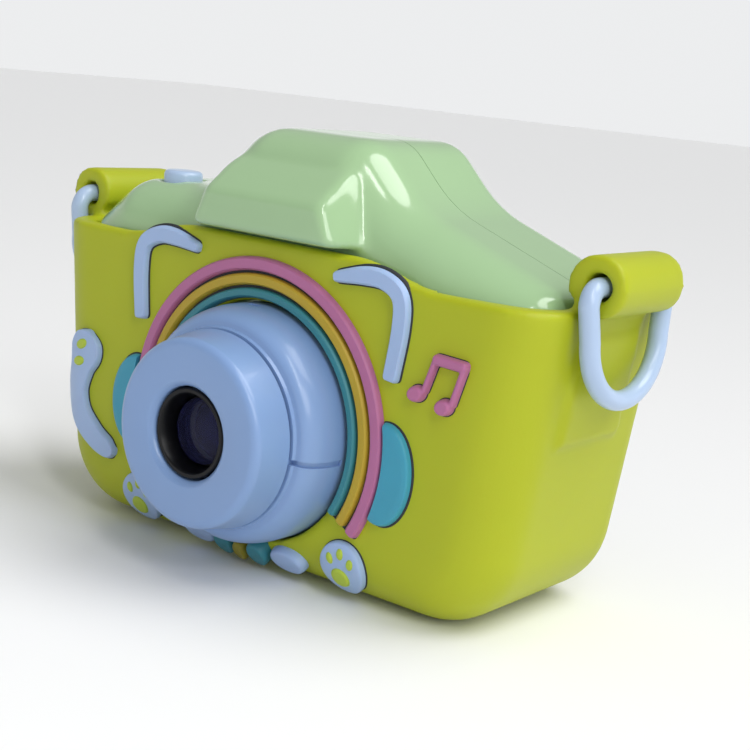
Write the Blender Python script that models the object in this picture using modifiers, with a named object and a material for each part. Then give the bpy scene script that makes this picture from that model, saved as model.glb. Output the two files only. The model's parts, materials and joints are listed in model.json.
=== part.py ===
"""Kids digital camera in a soft sleeve: every physical piece is its own named solid.

Frame: origin at the centre of the sleeve's flat underside, +X to the right seen from the
front, the lens faces -Y, +Z up. Lengths below are in millimetres and become metres in add_mesh.
"""

import math

import bmesh
import bpy
from mathutils import Matrix, Vector

MM = 0.001

# Driving dimensions of the soft case
FACE = 19.0  # the case reaches from y = -FACE (front) to y = +FACE (back)
CASE_HALF = 45.4  # half width of the case's outline where it would meet the floor
LEAN = 0.1117  # sideways lean of the side walls, mm per mm of height
CASE_CORNER = 13.7
FRONT_ROUND = 9.0
BACK_ROUND = 5.0
WALL = 2.6
GAP = 0.3

# Camera body inside the case
BODY_FRONT = -FACE + WALL + GAP
BODY_BACK = 16.0
SHELL = 2.0
SEAM = 0.15
LENS_Z = 24.3
LENS_HOLE = 19.3
BARREL = 19.0

# Strap ring
BAR_X = 52.6
BAR_Z = 54.0
ROD = 1.5
LUG_HALF = 9.2
RING_HALF = 11.2

# Rear controls: name, x, z, half width, half height
REAR_BUTTONS = [
    ("power_button", -35.1, 44.7, 3.7, 3.7),
    ("up_button", -37.2, 32.3, 4.1, 2.95),
    ("left_button", -33.2, 23.1, 2.5, 4.3),
    ("right_button", -39.7, 22.9, 2.5, 4.3),
    ("down_button", -36.6, 13.9, 4.1, 3.0),
]
BUTTON_TOP = 17.4
BUTTON_TRAVEL = 0.8
SHUTTER = (-32.85, -5.5)
SHUTTER_TOP = 60.4

# Screen glass
GLASS_X = 27.0
GLASS_LOW = 7.0
GLASS_HIGH = 49.8
EYE_Z = 58.4

# Ports under the camera
USB = (-26.4, 5.2)
CARD = (-14.8, 5.2)

SCREWS = [
    ("lower_left", -36.8, 7.9, -10.6),
    ("lower_right", 36.8, 7.9, -10.6),
    ("upper_left", -44.2, 46.0, -10.6),
    ("upper_right", 44.2, 46.0, -10.6),
]

COLOURS = {
    "case_silicone": ((0.50, 0.56, 0.04), 0.45),
    "shell_mint": ((0.42, 0.68, 0.36), 0.25),
    "trim_blue": ((0.36, 0.50, 0.80), 0.3),
    "relief_pink": ((0.52, 0.14, 0.32), 0.4),
    "relief_yellow": ((0.56, 0.46, 0.05), 0.4),
    "relief_teal": ((0.05, 0.30, 0.38), 0.4),
    "relief_olive": ((0.35, 0.36, 0.04), 0.4),
    "black_plastic": ((0.01, 0.01, 0.012), 0.35),
    "dark_glass": ((0.015, 0.015, 0.03), 0.08),
    "clear_lens": ((0.05, 0.05, 0.12), 0.05),
    "circuit_board": ((0.02, 0.16, 0.06), 0.5),
    "battery_foil": ((0.55, 0.56, 0.58), 0.35),
    "plated_steel": ((0.6, 0.6, 0.62), 0.3),
}


# ---------------------------------------------------------------- helpers


def clear_scene():
    for obj in list(bpy.data.objects):
        bpy.data.objects.remove(obj, do_unlink=True)


def collection(name):
    new = bpy.data.collections.new(name)
    bpy.context.scene.collection.children.link(new)
    return new


def material(name):
    if name in bpy.data.materials:
        return bpy.data.materials[name]
    mat = bpy.data.materials.new(name)
    mat.use_nodes = True
    shader = mat.node_tree.nodes["Principled BSDF"]
    colour, rough = COLOURS[name]
    shader.inputs["Base Color"].default_value = (*colour, 1.0)
    shader.inputs["Roughness"].default_value = rough
    shader.inputs["Metallic"].default_value = 1.0 if name == "plated_steel" else 0.0
    mat.diffuse_color = (*colour, 1.0)
    return mat


def add_mesh(name, bm, finish=None):
    """Turns a bmesh in millimetres into an object; without a finish it is a cutter."""
    bmesh.ops.recalc_face_normals(bm, faces=bm.faces)
    bmesh.ops.scale(bm, vec=(MM, MM, MM), verts=bm.verts)
    mesh = bpy.data.meshes.new(name)
    bm.to_mesh(mesh)
    bm.free()
    obj = bpy.data.objects.new(name, mesh)
    if finish:
        PARTS.objects.link(obj)
        mesh.materials.append(material(finish))
        mesh.shade_smooth()
        mesh.set_sharp_from_angle(angle=math.radians(35))
    else:
        CUTTERS.objects.link(obj)
        obj.hide_render = True
        obj.display_type = "WIRE"
    return obj


def boolean(obj, other, operation="DIFFERENCE"):
    mod = obj.modifiers.new(other.name, "BOOLEAN")
    mod.operation = operation
    mod.object = other
    return obj


def rounded(corners, steps):
    """Closed outline through (x, z, radius) corners, each turned into an arc."""
    points = []
    for i, (x, z, radius) in enumerate(corners):
        corner = Vector((x, z))
        before = (Vector(corners[i - 1][:2]) - corner).normalized()
        after = (Vector(corners[(i + 1) % len(corners)][:2]) - corner).normalized()
        half = before.angle(after) / 2
        centre = corner + (before + after).normalized() * radius / math.sin(half)
        start = corner + before * radius / math.tan(half) - centre
        end = corner + after * radius / math.tan(half) - centre
        turn = start.angle_signed(end)
        for k in range(steps + 1):
            angle = -turn * k / steps
            cos, sin = math.cos(angle), math.sin(angle)
            points.append(centre + Vector((start.x * cos - start.y * sin, start.x * sin + start.y * cos)))
    return points


def inset(corners, distance):
    """The same corners, for an outline moved inwards by distance; the corners run anticlockwise."""
    result = []
    for i, (x, z, radius) in enumerate(corners):
        corner = Vector((x, z))
        before = (corner - Vector(corners[i - 1][:2])).normalized()
        after = (Vector(corners[(i + 1) % len(corners)][:2]) - corner).normalized()
        normal = Vector((-before.y - after.y, before.x + after.x)).normalized()
        reach = distance / max(0.2, normal.dot(Vector((-after.y, after.x))))
        convex = before.x * after.y - before.y * after.x > 0
        moved = corner + normal * reach
        result.append((moved.x, moved.y, max(0.3, radius - distance if convex else radius + distance)))
    return result


def loft(name, rings, finish=None):
    """Skins rings of equally many 3-D points and closes both ends."""
    bm = bmesh.new()
    rows = [[bm.verts.new(p) for p in ring] for ring in rings]
    for low, high in zip(rows, rows[1:]):
        for k in range(len(low)):
            n = (k + 1) % len(low)
            bm.faces.new((low[k], low[n], high[n], high[k]))
    bm.faces.new(rows[0])
    bm.faces.new(rows[-1])
    return add_mesh(name, bm, finish)


def ring_at(corners, y, moved_in, steps):
    outline = inset(corners, moved_in) if moved_in else corners
    return [(p.x, y, p.y) for p in rounded(outline, steps)]


def block(name, corners, y_front, y_back, finish=None, front=0.0, back=0.0, steps=3, edge=3):
    """An outline in X and Z carried along Y, with quarter-round front and back edges."""
    rings = []
    for k in range(edge if front else 0):
        a = math.radians(90 * k / edge)
        y = y_front + front * (1 - math.cos(a))
        rings.append(ring_at(corners, y, front * (1 - math.sin(a)), steps))
    rings.append(ring_at(corners, y_front + front, 0, steps))
    rings.append(ring_at(corners, y_back - back, 0, steps))
    for k in range(1, edge + 1 if back else 0):
        a = math.radians(90 * k / edge)
        rings.append(ring_at(corners, y_back - back * (1 - math.sin(a)), back * (1 - math.cos(a)), steps))
    return loft(name, rings, finish)


def box(name, low, high, finish=None, bevel=0.0):
    bm = bmesh.new()
    bmesh.ops.create_cube(bm, size=1.0)
    size = [b - a for a, b in zip(low, high)]
    centre = [(a + b) / 2 for a, b in zip(low, high)]
    bmesh.ops.scale(bm, vec=size, verts=bm.verts)
    bmesh.ops.translate(bm, vec=centre, verts=bm.verts)
    obj = add_mesh(name, bm, finish)
    if bevel:
        mod = obj.modifiers.new("edges", "BEVEL")
        mod.width = bevel * MM
        mod.segments = 1
    return obj


def cylinder(name, centre, radius, length, axis, finish=None, sides=16, radius_end=None):
    """A cylinder or cone that starts at centre and runs for length along +axis."""
    bm = bmesh.new()
    far = radius if radius_end is None else radius_end
    bmesh.ops.create_cone(bm, cap_ends=True, segments=sides, radius1=radius, radius2=far, depth=length)
    bmesh.ops.translate(bm, vec=(0, 0, length / 2), verts=bm.verts)
    turn = Vector((0, 0, 1)).rotation_difference(Vector(axis)).to_matrix()
    bmesh.ops.rotate(bm, cent=(0, 0, 0), matrix=turn, verts=bm.verts)
    bmesh.ops.translate(bm, vec=centre, verts=bm.verts)
    return add_mesh(name, bm, finish)


def turned(name, profile, finish, sides=32):
    """A closed (radius, y) profile turned about the lens axis with a Screw modifier."""
    mesh = bpy.data.meshes.new(name)
    pairs = list(zip(profile, profile[1:] + profile[:1]))
    if sum(a[0] * b[1] - b[0] * a[1] for a, b in pairs) > 0:
        profile = profile[::-1]
    verts = [(r * MM, y * MM, 0) for r, y in profile]
    edges = [(k, (k + 1) % len(profile)) for k in range(len(profile))]
    mesh.from_pydata(verts, edges, [])
    mesh.materials.append(material(finish))
    obj = bpy.data.objects.new(name, mesh)
    obj.location = (0, 0, LENS_Z * MM)
    PARTS.objects.link(obj)
    screw = obj.modifiers.new("turn", "SCREW")
    screw.axis = "Y"
    screw.steps = sides
    screw.render_steps = sides
    screw.merge_threshold = 0.0001
    screw.use_merge_vertices = True
    return obj


# ---------------------------------------------------------------- case surface and reliefs


def case_corners():
    top = 62.0
    side = CASE_HALF + LEAN * top
    return [
        (CASE_HALF, 0.0, CASE_CORNER),
        (side, top, 0.5),
        (-side, top, 0.5),
        (-CASE_HALF, 0.0, CASE_CORNER),
    ]


def body_corners():
    """The camera body's silhouette: sloping shoulders, a hump, and a higher shutter shoulder."""
    foot = WALL + GAP
    half = CASE_HALF - foot + LEAN * foot
    return [
        (half, foot, CASE_CORNER - foot),
        (48.1, 51.2, 3.5),
        (20.8, 60.8, 12.0),
        (11.4, 70.2, 4.0),
        (-10.6, 70.2, 4.0),
        (-20.6, 59.4, 8.0),
        (-38.3, 58.6, 3.0),
        (-48.0, 50.4, 3.0),
        (-half, foot, CASE_CORNER - foot),
    ]


def front_y(x, z):
    """Y of the case's front skin over (x, z): flat, then rounding back at the sides and foot."""
    to_side = (CASE_HALF + LEAN * z - abs(x)) * math.cos(math.atan(LEAN))
    near = min(to_side, z)
    if to_side < CASE_CORNER and z < CASE_CORNER:
        near = CASE_CORNER - math.hypot(CASE_CORNER - to_side, CASE_CORNER - z)
    near = min(max(near, 0.02), FRONT_ROUND)
    return -FACE + FRONT_ROUND - math.sqrt(FRONT_ROUND**2 - (FRONT_ROUND - near) ** 2)


def on_case(x, z, height):
    """The point height millimetres out from the case's front skin over (x, z)."""
    d = 0.05
    slope_x = (front_y(x + d, z) - front_y(x - d, z)) / (2 * d)
    slope_z = (front_y(x, z + d) - front_y(x, z - d)) / (2 * d)
    out = Vector((slope_x, -1, slope_z)).normalized()
    return Vector((x, front_y(x, z), z)) + out * height


def smooth_path(points, samples):
    """Catmull-Rom curve through points of any dimension, as samples + 1 points."""
    pts = [Vector(p) for p in points]
    pts = [2 * pts[0] - pts[1], *pts, 2 * pts[-1] - pts[-2]]
    spans = len(pts) - 3
    out = []
    for k in range(samples + 1):
        t = min(k * spans / samples, spans - 1e-6)
        i = int(t)
        u = t - i
        a, b, c, d = pts[i : i + 4]
        square = (2 * a - 5 * b + 4 * c - d) * u * u
        out.append(0.5 * (2 * b + (c - a) * u + square + (3 * b - a - 3 * c + d) * u**3))
    return out


RELIEF_GAP = 0.3
RELIEF_TOP = 1.2


def ribbon(name, path, finish, across=3, top=RELIEF_TOP):
    """A raised band: path holds (x, z, half width) stations."""
    bm = bmesh.new()
    layers = {}
    for height in (RELIEF_GAP, top):
        rows = []
        for i, (x, z, half) in enumerate(path):
            last = path[min(i + 1, len(path) - 1)]
            first = path[max(i - 1, 0)]
            along = Vector((last[0] - first[0], last[1] - first[1])).normalized()
            side = Vector((-along.y, along.x)) * half
            row = []
            for k in range(across + 1):
                t = 2 * k / across - 1
                row.append(bm.verts.new(on_case(x + side.x * t, z + side.y * t, height)))
            rows.append(row)
        layers[height] = rows
        for low, high in zip(rows, rows[1:]):
            for k in range(across):
                bm.faces.new((low[k], low[k + 1], high[k + 1], high[k]))
    low, high = layers[RELIEF_GAP], layers[top]
    border_low = edge_loop(low)
    border_high = edge_loop(high)
    for k in range(len(border_low)):
        n = (k + 1) % len(border_low)
        bm.faces.new((border_low[k], border_low[n], border_high[n], border_high[k]))
    return add_mesh(name, bm, finish)


def edge_loop(rows):
    """The outer loop of a grid of vertices."""
    right = [row[-1] for row in rows[1:-1]]
    left = [row[0] for row in rows[1:-1]]
    return rows[0] + right + rows[-1][::-1] + left[::-1]


def blob(name, centre, half_x, half_z, finish, sides=16, rings=3, top=RELIEF_TOP, tilt=0.0):
    """A raised oval patch that follows the case's front skin."""
    bm = bmesh.new()
    borders = []
    for height in (RELIEF_GAP, top):
        middle = bm.verts.new(on_case(centre[0], centre[1], height))
        before = None
        for ring in range(1, rings + 1):
            loop = []
            for k in range(sides):
                a = 2 * math.pi * k / sides
                x = half_x * math.cos(a) * ring / rings
                z = half_z * math.sin(a) * ring / rings
                turned_x = x * math.cos(tilt) - z * math.sin(tilt)
                turned_z = x * math.sin(tilt) + z * math.cos(tilt)
                loop.append(bm.verts.new(on_case(centre[0] + turned_x, centre[1] + turned_z, height)))
            for k in range(sides):
                n = (k + 1) % sides
                if before:
                    bm.faces.new((before[k], before[n], loop[n], loop[k]))
                else:
                    bm.faces.new((middle, loop[k], loop[n]))
            before = loop
        borders.append(before)
    low, high = borders
    for k in range(sides):
        n = (k + 1) % sides
        bm.faces.new((low[k], low[n], high[n], high[k]))
    return add_mesh(name, bm, finish)


# ---------------------------------------------------------------- soft case


def lug_corners(side):
    corners = [
        (50.0, 43.0, 0.3),
        (51.6, 49.6, 0.6),
        (57.0, 49.6, 3.4),
        (57.0, 58.6, 4.3),
        (47.7, 58.6, 4.3),
        (47.7, 53.1, 0.3),
        (49.2, 52.2, 0.3),
        (49.2, 43.0, 0.3),
    ]
    if side > 0:
        return corners
    return [(-x, z, r) for x, z, r in reversed(corners)]


def make_case():
    corners = case_corners()
    case = block("silicone_case", corners, -FACE, FACE, "case_silicone", FRONT_ROUND, BACK_ROUND, 4, 4)
    rim = [(-70, 50.3), (-31, 50.3), (-26.5, 51.8), (-23, 52.7), (-16, 53.3)]
    rim = rim + [(-x, z) for x, z in reversed(rim)]
    top = [(x, -30.0, z) for x, z in rim] + [(70, -30.0, 90), (-70, -30.0, 90)]
    boolean(case, loft("case_mouth", [top, [(x, 30.0, z) for x, _, z in top]]))
    for side, word in ((-1, "left"), (1, "right")):
        lug = block("lug_" + word, lug_corners(side), -LUG_HALF, LUG_HALF)
        boolean(case, lug, "UNION")
        boolean(case, side_patch("patch_" + word, side), "UNION")
        bar = (side * BAR_X, -15, BAR_Z)
        boolean(case, cylinder("bar_hole_" + word, bar, ROD + 0.75, 30, (0, 1, 0), sides=16))
    cavity = inset(body_corners(), -GAP)
    boolean(case, block("case_cavity", cavity, BODY_FRONT - GAP, BODY_BACK + GAP, None, FRONT_ROUND, 4.0))
    window = [(30.4, 5.6, 5.5), (36.5, 90, 0.3), (-49.6, 90, 0.3), (-40.8, 5.6, 6.0)]
    boolean(case, block("rear_opening", window, 12.0, 30.0))
    boolean(case, cylinder("lens_opening", (0, -30, LENS_Z), LENS_HOLE, 20, (0, 1, 0), sides=36))
    boolean(case, box("port_opening", (-31.9, 1.8, -5), (-8.1, 8.6, 6)))
    return case


def side_patch(name, side):
    """The slightly raised rectangle under each strap lug."""
    bm = bmesh.new()
    bmesh.ops.create_cube(bm, size=1.0)
    bmesh.ops.scale(bm, vec=(1.6, 17.0, 16.0), verts=bm.verts)
    turn = Matrix.Rotation(side * math.atan(LEAN), 3, "Y")
    bmesh.ops.rotate(bm, cent=(0, 0, 0), matrix=turn, verts=bm.verts)
    middle = 38.0
    bmesh.ops.translate(bm, vec=(side * (CASE_HALF + LEAN * middle - 0.3), 0, middle), verts=bm.verts)
    return add_mesh(name, bm)


def arc(radius, first, last, samples, half):
    path = []
    for k in range(samples + 1):
        a = math.radians(first + (last - first) * k / samples)
        path.append((radius * math.cos(a), LENS_Z + radius * math.sin(a), half))
    return path


def make_reliefs():
    for word, inner, outer in (("pink", 24.0, 26.3), ("yellow", 21.7, 23.7), ("teal", 19.7, 21.4)):
        half = (outer - inner) / 2
        path = arc((inner + outer) / 2, -31, 211, 30, half)
        ribbon("rainbow_band_" + word, path, "relief_" + word, across=1)
    ear = [
        (26.3, 36.2, 1.4), (27.2, 44.5, 1.5), (26.6, 48.9, 1.5),
        (23.5, 50.8, 1.5), (19.5, 50.9, 1.5), (14.0, 49.9, 1.4),
    ]
    for side, word in ((-1, "left"), (1, "right")):
        path = [(side * x, z, h) for x, z, h in smooth_path(ear, 14)]
        ribbon("ear_relief_" + word, path, "trim_blue", across=1)
        pad = blob("headphone_pad_" + word, (side * 26.6, 22.2), 5.2, 8.0, "relief_teal")
        boolean(pad, cylinder("pad_trim_" + word, (0, -40, LENS_Z), 26.6, 40, (0, 1, 0), sides=48))
    tail = [
        (-38.9, 32.0, 0.9), (-39.2, 30.6, 3.0), (-39.6, 28.2, 3.8), (-40.6, 25.0, 2.9),
        (-41.4, 21.2, 2.7), (-40.0, 17.2, 2.5), (-36.2, 13.9, 2.3), (-32.6, 12.3, 1.9), (-30.6, 12.0, 0.8),
    ]
    ribbon("tail_relief", smooth_path(tail, 24), "trim_blue", across=3)
    for word, x in (("left", -24.0), ("right", 20.5)):
        blob("paw_relief_" + word, (x, 6.0), 4.3, 4.2, "trim_blue", sides=16, rings=4)
    for word, x in (("left", -10.6), ("right", 8.8)):
        blob("arm_relief_" + word, (x, 3.7), 3.7, 1.9, "trim_blue", sides=16, rings=4)
    for word, x in (("left", -4.6), ("right", 2.5)):
        blob("bow_wing_" + word, (x, 3.5), 1.9, 1.8, "relief_teal", sides=14, rings=3, top=1.5)
    blob("bow_knot", (-1.05, 3.3), 1.3, 1.4, "relief_olive", sides=12, rings=3, top=1.7)
    make_note()


def make_note():
    """Two round heads, two stems and a beam, joined into one raised note pair."""
    lean = 0.32
    heads = [(31.3, 35.6), (36.3, 34.6)]
    note = blob("note_relief", heads[0], 1.6, 1.3, "relief_pink", sides=14, rings=1, tilt=lean)
    other = blob("note_head", heads[1], 1.6, 1.3, None, sides=14, rings=1, tilt=lean)
    boolean(note, other, "UNION")
    tops = []
    for k, (x, z) in enumerate(heads):
        foot = (x + 1.15, z + 0.2)
        tip = (x + 1.15 + 5.2 * lean, z + 5.6 + 0.7 * k)
        tops.append(tip)
        stem = ribbon(f"note_stem_{k}", [(*foot, 0.45), (*tip, 0.45)], None, across=1, top=1.13 - 0.05 * k)
        boolean(note, stem, "UNION")
    first, last = tops
    path = [(first[0] - 0.5, first[1], 0.8), (last[0] + 0.5, last[1], 0.8)]
    beam = ribbon("note_beam", path, None, 1, 1.27)
    boolean(note, beam, "UNION")


def make_strap_rings():
    """Closed rings: a straight bar in the lug, two legs and a round bow that hangs down."""
    for side, word in ((-1, "left"), (1, "right")):
        curve = bpy.data.curves.new("strap_ring_" + word, "CURVE")
        curve.dimensions = "3D"
        curve.bevel_depth = ROD * MM
        curve.bevel_resolution = 2
        spline = curve.splines.new("POLY")
        points = ring_outline()
        spline.points.add(len(points) - 1)
        spline.use_cyclic_u = True
        for point, (y, drop) in zip(spline.points, points):
            x = side * 0.075 * drop
            point.co = (x * MM, y * MM, -drop * MM, 1)
        obj = bpy.data.objects.new("strap_ring_" + word, curve)
        obj.location = (side * BAR_X * MM, 0, BAR_Z * MM)
        curve.materials.append(material("trim_blue"))
        PARTS.objects.link(obj)


def ring_outline():
    """(y, drop below the bar) round the ring: corners of 2.6 mm, legs, and a half round."""
    corner, bow, straight = 2.6, 9.2, 7.6
    half = []
    for k in range(4):
        a = math.radians(90 * k / 3)
        half.append((RING_HALF - corner + corner * math.sin(a), corner - corner * math.cos(a)))
    for k in range(7):
        a = math.radians(90 * k / 6)
        half.append(((bow + 1.1) * math.cos(a), straight + bow * math.sin(a)))
    return half + [(-y, d) for y, d in reversed(half[:-1])]


# ---------------------------------------------------------------- camera body


def make_front_shell():
    shell = block("front_shell", body_corners(), BODY_FRONT, -SEAM, "shell_mint", FRONT_ROUND, 0, 3, 4)
    sections = [
        (-22.0, 13.7, 11.4, 54.6, 59.6, 1.0),
        (-21.3, 14.5, 12.0, 54.0, 60.5, 1.2),
        (-12.5, 16.0, 11.3, 54.0, 66.5, 2.0),
        (-3.0, 17.6, 10.2, 54.0, 70.0, 3.0),
        (-SEAM, 18.0, 10.0, 54.0, 70.1, 3.4),
    ]
    rings = []
    for y, foot, head, low, high, radius in sections:
        corners = [(foot, low, 0.6), (head, high, radius), (-head, high, radius), (-foot, low, 0.6)]
        rings.append([(p.x, y, p.y) for p in rounded(corners, 3)])
    boolean(shell, loft("prism_nose", rings), "UNION")
    cavity = inset(body_corners(), SHELL)
    boolean(shell, block("front_cavity", cavity, BODY_FRONT + SHELL, 5.0, None, FRONT_ROUND - SHELL, 0))
    boolean(shell, cylinder("lens_tube_hole", (0, -22, LENS_Z), 8.0, 12, (0, 1, 0), sides=20))
    boolean(shell, cylinder("shutter_hole", (SHUTTER[0], SHUTTER[1], 53), 3.7, 10, (0, 0, 1), sides=20))
    for word, x, z, head_y in SCREWS:
        boss_y = head_y + 1.2
        boss = cylinder("front_boss_" + word, (x, boss_y, z), 3.1, -SEAM - boss_y, (0, 1, 0), sides=16)
        boolean(shell, boss, "UNION")
        boolean(shell, cylinder("screw_hole_" + word, (x, -25, z), 1.3, 30, (0, 1, 0), sides=12))
        head_hole = cylinder("head_hole_" + word, (x, -25, z), 2.4, head_y + 1.9 + 25, (0, 1, 0), sides=16)
        boolean(shell, head_hole)
    return shell


def glass_corners(grow):
    low, high, half = GLASS_LOW - grow, GLASS_HIGH + grow, GLASS_X + grow
    radius = 5.5 + grow
    return [(half, low, radius), (half, high, radius), (-half, high, radius), (-half, low, radius)]


def plate_corners(half, low, high, radius):
    return [(half, low, radius), (half, high, radius), (-half, high, radius), (-half, low, radius)]


def make_rear_shell():
    shell = block("rear_shell", body_corners(), SEAM, BODY_BACK, "shell_mint", 0, 4.0, 3, 3)
    rim = block("screen_rim", glass_corners(1.0), BODY_BACK - 1.0, BODY_BACK + 0.7, back=0.4, edge=2)
    boolean(shell, rim, "UNION")
    hood = [(14.0, 51.6, 0.5), (14.0, 65.3, 6.0), (-14.0, 65.3, 6.0), (-14.0, 51.6, 0.5)]
    boolean(shell, block("eyepiece_hood", hood, 12.0, FACE, back=0.8, edge=2), "UNION")
    cavity = inset(body_corners(), SHELL)
    boolean(shell, block("rear_cavity", cavity, -5.0, BODY_BACK - 2.4))
    boolean(shell, block("hood_recess", plate_corners(12.0, 40.0, 63.3, 4.4), 16.6, 25.0))
    boolean(shell, block("glass_recess", glass_corners(0.3), 14.9, 25.0))
    boolean(shell, block("lcd_window", plate_corners(22.5, 11.0, 46.0, 1.0), 10.0, 20.0, steps=1))
    boolean(shell, block("eyepiece_recess", plate_corners(6.9, EYE_Z - 4.6, EYE_Z + 4.6, 1.8), 15.5, 20.0))
    boolean(shell, cylinder("eyepiece_hole", (0, 10, EYE_Z), 2.6, 10, (0, 1, 0)))
    for name, x, z, half_x, half_z in REAR_BUTTONS:
        boolean(shell, oval("hole_" + name, x, z, half_x + 0.35, half_z + 0.35, 10, 20))
    boolean(shell, cylinder("power_dish", (-35.1, BODY_BACK - 0.6, 44.7), 4.9, 3, (0, 1, 0), sides=20))
    boolean(shell, cylinder("status_hole", (-30.5, 10, 34.9), 0.95, 10, (0, 1, 0), sides=12))
    boolean(shell, cylinder("mic_hole", (31.6, 8, 51.8), 1.6, 12, (0, 1, 0), sides=16))
    boolean(shell, box("usb_hole", (USB[0] - 4.8, USB[1] - 1.95, 0), (USB[0] + 4.8, USB[1] + 1.95, 8)))
    boolean(shell, box("card_hole", (CARD[0] - 6.0, CARD[1] - 0.95, 0), (CARD[0] + 6.0, CARD[1] + 0.95, 8)))
    for word, x, z, _ in SCREWS:
        boss = cylinder("rear_boss_" + word, (x, SEAM, z), 2.2, 14.2 - SEAM, (0, 1, 0), sides=16)
        boolean(shell, boss, "UNION")
        boolean(shell, cylinder("thread_hole_" + word, (x, -5, z), 1.3, 14, (0, 1, 0), sides=12))
    return shell


def oval(name, x, z, half_x, half_z, y_low, y_high, finish=None, sides=16):
    ring = []
    for k in range(sides):
        a = 2 * math.pi * k / sides
        ring.append((x + half_x * math.cos(a), z + half_z * math.sin(a)))
    return loft(name, [[(px, y_low, pz) for px, pz in ring], [(px, y_high, pz) for px, pz in ring]], finish)


def make_buttons():
    cap = ((12.5, 0.6), (13.3, 0.6), (13.3, 0.0), (16.7, 0.0), (17.2, -0.35), (BUTTON_TOP, -0.9))
    for name, x, z, half_x, half_z in REAR_BUTTONS:
        rings = []
        for y, grow in cap:
            ring = []
            for k in range(16):
                a = 2 * math.pi * k / 16
                ring.append((x + (half_x + grow) * math.cos(a), y, z + (half_z + grow) * math.sin(a)))
            rings.append(ring)
        loft(name, rings, "trim_blue")
    rings = []
    plunger = ((54.7, 4.2), (55.6, 4.2), (55.6, 3.35), (59.7, 3.35), (60.2, 3.0), (SHUTTER_TOP, 2.4))
    for z, radius in plunger:
        ring = []
        for k in range(16):
            a = 2 * math.pi * k / 16
            ring.append((SHUTTER[0] + radius * math.cos(a), SHUTTER[1] + radius * math.sin(a), z))
        rings.append(ring)
    loft("shutter_button", rings, "trim_blue")


def make_lens():
    shoulder = []
    for k in range(5):
        a = math.radians(90 * k / 4)
        shoulder.append((16.0 + 3.0 * math.cos(a), -20.6 - 6.8 * math.sin(a)))
    back = BODY_FRONT - GAP
    inner = [(10.5, -27.4), (10.5, -25.4), (16.0, -22.0), (16.0, back)]
    barrel = [(BARREL, back)] + shoulder + inner
    turned("lens_barrel", barrel, "trim_blue")
    edge = []
    for k in range(4):
        a = math.radians(90 * k / 3)
        edge.append((13.2 + 1.5 * math.cos(a), -32.8 - 1.5 * math.sin(a)))
    front = [(15.5, -27.7)] + edge + [(7.9, -34.3), (7.3, -33.7), (7.3, -27.7)]
    turned("lens_front_ring", front, "trim_blue")
    bezel = [(7.0, -28.2), (7.0, -33.4), (6.2, -33.4), (5.6, -31.2), (5.6, -28.2)]
    turned("lens_bezel", bezel, "black_plastic", 20)
    cylinder("lens_window", (0, -30.9, LENS_Z), 5.1, 0.8, (0, 1, 0), "clear_lens", 20)
    cylinder("lens_holder", (0, -26.6, LENS_Z), 5.0, 12.9, (0, 1, 0), "black_plastic", 16)
    cylinder("lens_element", (0, -27.0, LENS_Z), 3.9, 2.2, (0, -1, 0), "clear_lens", 16, 2.4)
    box("camera_board", (-12, -13.4, LENS_Z - 12), (12, -12.2, LENS_Z + 12), "circuit_board")


def make_rear_optics():
    block("screen_glass", glass_corners(0.0), 15.2, 16.3, "dark_glass", back=0.3, edge=1)
    box("lcd_panel", (-24.5, 10.8, 8.5), (24.5, 13.3, 48.0), "black_plastic", 0.3)
    block("eyepiece_window", plate_corners(6.6, EYE_Z - 4.3, EYE_Z + 4.3, 1.6), 15.8, 16.7, "dark_glass")
    box("selfie_camera", (-4.2, 8.0, EYE_Z - 4.2), (4.2, 13.2, EYE_Z + 4.2), "black_plastic", 0.3)
    cylinder("status_light", (-30.5, 10.4, 34.9), 0.7, 5.5, (0, 1, 0), "clear_lens", 12)
    cylinder("microphone", (31.6, 11.0, 51.8), 1.3, 4.7, (0, 1, 0), "black_plastic", 16)


def make_inside():
    board_y = 7.0
    box("main_board", (-27.0, board_y, 6.2), (32.5, board_y + 1.4, 48.5), "circuit_board")
    box("key_board", (-41.2, 9.0, 12.6), (-28.2, 10.1, 49.5), "circuit_board")
    for name, x, z, _, _ in REAR_BUTTONS:
        switch_x = max(x, -39.4)
        switch = name.replace("button", "switch")
        box(switch, (switch_x - 1.6, 10.4, z - 1.6), (switch_x + 1.6, 11.5, z + 1.6), "black_plastic")
    x, y = SHUTTER
    box("shutter_switch", (x - 1.6, y - 1.6, 52.0), (x + 1.6, y + 1.6, 53.3), "black_plastic")
    box("shutter_board", (x - 4.2, y - 3.6, 50.7), (x + 4.4, y + 4.6, 51.7), "circuit_board")
    box("battery", (-21, -8.0, 8.0), (21, -2.0, 40.0), "battery_foil", 0.8)
    cylinder("speaker", (36.0, -7.0, 27.0), 7.0, 3.6, (0, 1, 0), "black_plastic", 16)
    x, y = USB
    usb = box("usb_port", (x - 4.4, y - 1.6, 3.3), (x + 4.4, y + 1.5, 10.5), "plated_steel")
    boolean(usb, box("usb_mouth", (x - 4.0, y - 1.2, 0), (x + 4.0, y + 1.1, 9.5)))
    x, y = CARD
    slot = box("card_slot", (x - 6.4, y - 1.4, 6.0), (x + 6.4, y + 1.5, 20.5), "plated_steel")
    boolean(slot, box("card_mouth", (x - 5.8, y - 0.8, 0), (x + 5.8, y + 0.8, 20.0)))
    box("memory_card", (x - 5.5, y - 0.5, 3.6), (x + 5.5, y + 0.5, 18.6), "black_plastic")
    for word, sx, sz, head_y in SCREWS:
        screw = cylinder("case_screw_" + word, (sx, head_y, sz), 2.1, 1.6, (0, 1, 0), "plated_steel", 16)
        shank = cylinder("shank_" + word, (sx, head_y + 1.0, sz), 1.1, 17.0, (0, 1, 0), sides=12)
        boolean(screw, shank, "UNION")


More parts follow.
